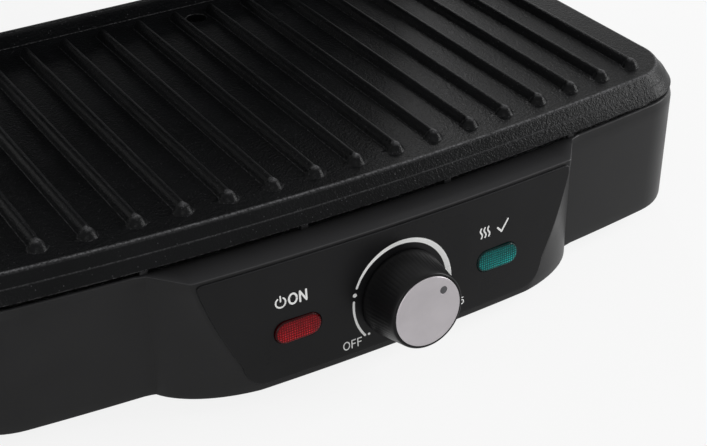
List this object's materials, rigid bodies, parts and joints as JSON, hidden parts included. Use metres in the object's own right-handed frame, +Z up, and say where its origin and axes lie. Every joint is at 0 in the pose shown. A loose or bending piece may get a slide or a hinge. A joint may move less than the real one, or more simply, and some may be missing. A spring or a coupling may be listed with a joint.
{
  "type": "electric indoor grill with lid",
  "caption": "Low countertop contact grill: ribbed non-stick plates in a bowed base and in a hinged, floating lid, with a thermostat knob between two oval lamps.",
  "frame": {"origin": "on the table, under the middle of the whole object with its lid open; it lies 45.5 mm behind the middle of the base", "axes": "+Z up, -Y towards the control panel, +X to the right of a person who faces the panel"},
  "size_m": [0.32, 0.3411, 0.3189],
  "materials": {
    "housing_plastic": "satin",
    "inner_plastic": "matt",
    "nonstick": "sandy non-stick coating",
    "panel_black": "satin",
    "knob_black": "satin",
    "disc_metal": "brushed",
    "lens_red": "gloss",
    "lens_green": "gloss",
    "steel": "zinc plated",
    "sheet_metal": "mill",
    "element_steel": "heat stained",
    "rubber": "matt",
    "pale_plastic": "semi-gloss",
    "lamp_glass": "clear",
    "copper": "drawn",
    "wire_sleeve": "matt"
  },
  "bodies": {
    "base": {"base_housing": "housing_plastic", "bottom_cover": "inner_plastic", "rubber_feet": "rubber", "bottom_screws": "steel", "lower_plate": "nonstick", "lower_element": "element_steel", "lower_reflector": "sheet_metal", "lower_plate_screws": "steel", "control_panel": "panel_black", "power_lens": "lens_red", "ready_lens": "lens_green", "lamp_housings": "pale_plastic", "neon_lamps": "lamp_glass", "thermostat_body": "pale_plastic", "thermostat_nut": "steel", "thermostat_sensor": "copper", "terminal_block": "pale_plastic", "thermal_fuse": "pale_plastic", "mains_wires": "wire_sleeve", "element_wires": "wire_sleeve", "cord_gland": "rubber", "gland_nut": "inner_plastic", "hinge_post_left": "housing_plastic", "hinge_post_right": "housing_plastic", "hinge_post_screws": "steel"},
    "hinge_carriage": {"hinge_pin_left": "steel", "hinge_pin_right": "steel", "hinge_pin_clips": "steel"},
    "lid": {"hinge_arm_left": "housing_plastic", "hinge_arm_right": "housing_plastic", "hinge_arm_screws": "steel", "lid_housing": "housing_plastic", "lid_frame": "inner_plastic", "lid_frame_screws": "steel", "upper_plate": "nonstick", "upper_element": "element_steel", "upper_reflector": "sheet_metal", "upper_plate_screws": "steel", "handle_grip": "knob_black", "handle_bracket_left": "housing_plastic", "handle_bracket_right": "housing_plastic", "handle_screws": "steel"},
    "knob": {"knob_skirt": "knob_black", "knob_disc": "disc_metal", "thermostat_shaft": "steel"},
    "tray": {"drip_tray": "inner_plastic"}
  },
  "joints": [
    {"name": "hinge_float", "type": "slide", "parent": "base", "child": "hinge_carriage", "axis": [0, 0, 1], "range_m": [0, 0.014]},
    {"name": "lid_hinge", "type": "hinge", "parent": "hinge_carriage", "child": "lid", "pos_m": [0, 0.073, 0.078], "axis": [1, 0, 0], "range_deg": [0, 105]},
    {"name": "knob_turn", "type": "hinge", "parent": "base", "child": "knob", "pos_m": [0, -0.15195, 0.0278], "axis": [0, 0.9968, -0.0802], "range_deg": [-178.6, 88.6]},
    {"name": "tray_slide", "type": "slide", "parent": "base", "child": "tray", "axis": [0, 1, 0], "range_m": [0, 0.08]}
  ]
}
